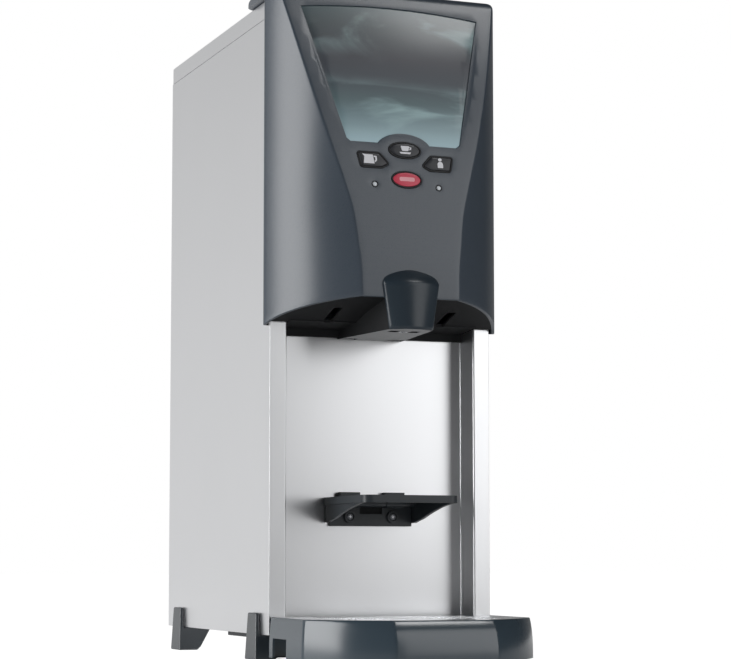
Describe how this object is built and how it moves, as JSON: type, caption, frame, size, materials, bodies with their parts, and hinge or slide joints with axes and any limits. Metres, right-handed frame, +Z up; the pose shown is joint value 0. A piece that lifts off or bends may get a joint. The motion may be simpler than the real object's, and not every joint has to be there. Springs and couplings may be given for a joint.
{
  "type": "hot water dispenser",
  "caption": "Countertop hot water dispenser: tall steel column with a moulded hood, push buttons, a spout, a fold-up cup shelf and a slide-out drip tray with a grid.",
  "frame": {"origin": "on the counter, under the middle of the whole object's box", "axes": "+Z up, the front faces -Y, +X to the right when looking at the back wall from the front"},
  "size_m": [0.248, 0.535, 0.668],
  "materials": {
    "cabinet_steel": "fine brushed stainless sheet",
    "splash_steel": "polished stainless sheet",
    "bright_steel": "bright stainless",
    "hood_plastic": "satin moulded plastic, slate blue-grey",
    "dark_plastic": "matt near-black moulded plastic",
    "tray_plastic": "satin moulded plastic, mid slate",
    "foot_plastic": "satin moulded plastic",
    "button_black": "satin black",
    "rim_black": "matt black",
    "button_red": "satin red",
    "window": "clear glossy pane over a printed graphic",
    "graphic": "printed translucent sheet",
    "lamp": "milky translucent",
    "board": "lacquered circuit board",
    "mat_rubber": "soft black rubber",
    "foam": "closed cell foam",
    "brass": "machined brass",
    "silicone": "translucent silicone",
    "ceramic": "white insulator",
    "tank_steel": "welded stainless sheet"
  },
  "bodies": {
    "cabinet": {"base_plate": "cabinet_steel", "left_side_panel": "cabinet_steel", "right_side_panel": "cabinet_steel", "front_panel": "splash_steel", "rear_panel": "cabinet_steel", "top_lid": "cabinet_steel", "foot_front_left": "foot_plastic", "foot_front_right": "foot_plastic", "foot_rear_left": "foot_plastic", "foot_rear_right": "foot_plastic", "tray_rail_left": "dark_plastic", "tray_rail_right": "dark_plastic", "hood_shell": "hood_plastic", "hood_underside": "dark_plastic", "spout_nose": "hood_plastic", "display_window": "window", "display_graphic": "graphic", "display_backlight": "lamp", "keypad_frame": "rim_black", "indicator_lens_left": "lamp", "indicator_lens_right": "lamp", "keypad_mat": "mat_rubber", "control_board": "board", "shelf_mount": "dark_plastic", "shelf_pin": "bright_steel", "shelf_screw_left": "bright_steel", "shelf_screw_right": "bright_steel", "water_tank": "tank_steel", "tank_insulation": "foam", "tank_lid": "tank_steel", "tank_stand": "cabinet_steel", "heating_element": "bright_steel", "level_probe": "bright_steel", "temperature_sensor": "bright_steel", "safety_thermostat": "ceramic", "outlet_pipe": "bright_steel", "dispense_valve": "dark_plastic", "outlet_hose": "silicone", "outlet_nozzle": "bright_steel", "inlet_fitting": "brass", "inlet_valve": "dark_plastic", "inlet_hose": "silicone", "drain_plug": "brass", "cable_gland": "rim_black", "switch_housing": "rim_black", "terminal_block": "ceramic", "power_relay": "rim_black"},
    "jug_button": {"jug_button": "button_black"},
    "cup_button": {"cup_button": "button_black"},
    "flask_button": {"flask_button": "button_black"},
    "stop_button": {"stop_button": "button_red"},
    "power_switch": {"power_switch": "button_black"},
    "cup_shelf": {"cup_shelf": "dark_plastic"},
    "drip_tray": {"drip_tray": "tray_plastic"},
    "drip_grid": {"drip_grid": "bright_steel"}
  },
  "joints": [
    {"name": "jug_button_press", "type": "slide", "parent": "cabinet", "child": "jug_button", "axis": [0, 0.9848, -0.1734], "range_m": [0, 0.0012], "stiffness_N_per_m": 400, "springref_m": -0.001},
    {"name": "cup_button_press", "type": "slide", "parent": "cabinet", "child": "cup_button", "axis": [0, 0.9848, -0.1734], "range_m": [0, 0.0012], "stiffness_N_per_m": 400, "springref_m": -0.001},
    {"name": "flask_button_press", "type": "slide", "parent": "cabinet", "child": "flask_button", "axis": [0, 0.9848, -0.1734], "range_m": [0, 0.0012], "stiffness_N_per_m": 400, "springref_m": -0.001},
    {"name": "stop_button_press", "type": "slide", "parent": "cabinet", "child": "stop_button", "axis": [0, 0.9848, -0.1734], "range_m": [0, 0.0012], "stiffness_N_per_m": 400, "springref_m": -0.001},
    {"name": "power_switch_rock", "type": "hinge", "parent": "cabinet", "child": "power_switch", "pos_m": [0.07, 0.2515, 0.1], "axis": [1, 0, 0], "range_deg": [0, 12]},
    {"name": "shelf_fold", "type": "hinge", "parent": "cabinet", "child": "cup_shelf", "pos_m": [0, -0.0765, 0.155], "axis": [-1, 0, 0], "range_deg": [0, 90]},
    {"name": "tray_pull", "type": "slide", "parent": "cabinet", "child": "drip_tray", "axis": [0, -1, 0], "range_m": [0, 0.1]},
    {"name": "grid_lift", "type": "slide", "parent": "drip_tray", "child": "drip_grid", "axis": [0, 0, 1], "range_m": [0, 0.04]}
  ]
}
